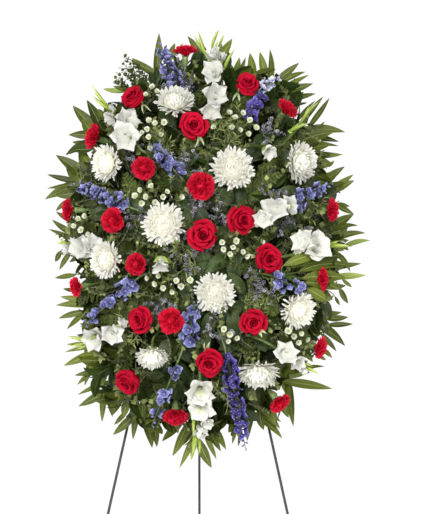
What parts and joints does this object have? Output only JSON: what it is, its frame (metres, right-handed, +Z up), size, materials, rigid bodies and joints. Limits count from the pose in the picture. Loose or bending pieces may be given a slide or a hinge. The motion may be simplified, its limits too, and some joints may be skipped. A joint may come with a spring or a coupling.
{
  "type": "standing funeral arrangement",
  "caption": "Tall oval spray of cut roses, carnations, chrysanthemums, gladioli and delphiniums in caged foam, on a wire easel with three legs, the rear one folding.",
  "frame": {"origin": "on the floor under the middle of the whole arrangement", "axes": "+Z up; the spray faces -Y; +X is to the right of someone facing the spray"},
  "size_m": [0.755, 0.7957, 1.5434],
  "materials": {
    "easel_paint": "satin",
    "pin_steel": "satin",
    "holder_green": "matte",
    "foam_green": "matte",
    "binding_wire": "satin",
    "rose_red": "matte",
    "carnation_red": "matte",
    "chrysanthemum_cream": "matte",
    "gladiolus_white": "matte",
    "delphinium_blue": "matte",
    "palm_green": "matte"
  },
  "bodies": {
    "stand_and_spray": {"binding_wire": "binding_wire", "cage_grid": "holder_green", "cage_tray": "holder_green", "carnation_01": "carnation_red", "carnation_02": "carnation_red", "carnation_03": "carnation_red", "carnation_04": "carnation_red", "carnation_05": "carnation_red", "carnation_06": "carnation_red", "carnation_07": "carnation_red", "carnation_08": "carnation_red", "carnation_09": "carnation_red", "carnation_10": "carnation_red", "carnation_11": "carnation_red", "carnation_12": "carnation_red", "carnation_13": "carnation_red", "carnation_14": "carnation_red", "carnation_15": "carnation_red", "crossbar_hanger": "easel_paint", "delphinium_01": "delphinium_blue", "delphinium_02": "delphinium_blue", "delphinium_03": "delphinium_blue", "delphinium_04": "delphinium_blue", "delphinium_05": "delphinium_blue", "delphinium_06": "delphinium_blue", "delphinium_07": "delphinium_blue", "foam_block": "foam_green", "front_leg_left": "easel_paint", "front_leg_right": "easel_paint", "gladiolus_01": "gladiolus_white", "gladiolus_02": "gladiolus_white", "gladiolus_03": "gladiolus_white", "gladiolus_04": "gladiolus_white", "gladiolus_05": "gladiolus_white", "gladiolus_06": "gladiolus_white", "gladiolus_07": "gladiolus_white", "gladiolus_08": "gladiolus_white", "mum_01": "chrysanthemum_cream", "mum_02": "chrysanthemum_cream", "mum_03": "chrysanthemum_cream", "mum_04": "chrysanthemum_cream", "mum_05": "chrysanthemum_cream", "mum_06": "chrysanthemum_cream", "mum_07": "chrysanthemum_cream", "mum_08": "chrysanthemum_cream", "mum_09": "chrysanthemum_cream", "mum_10": "chrysanthemum_cream", "palm_collar": "palm_green", "pivot_pin": "pin_steel", "rose_01": "rose_red", "rose_02": "rose_red", "rose_03": "rose_red", "rose_04": "rose_red", "rose_05": "rose_red", "rose_06": "rose_red", "rose_07": "rose_red", "rose_08": "rose_red", "rose_09": "rose_red", "rose_10": "rose_red"},
    "rear_leg": {"rear_leg": "easel_paint"}
  },
  "joints": [
    {"name": "rear_leg_fold", "type": "hinge", "parent": "stand_and_spray", "child": "rear_leg", "pos_m": [-0.018, 0.02, 1.33], "axis": [1, 0, 0], "range_deg": [-26, 0]}
  ]
}
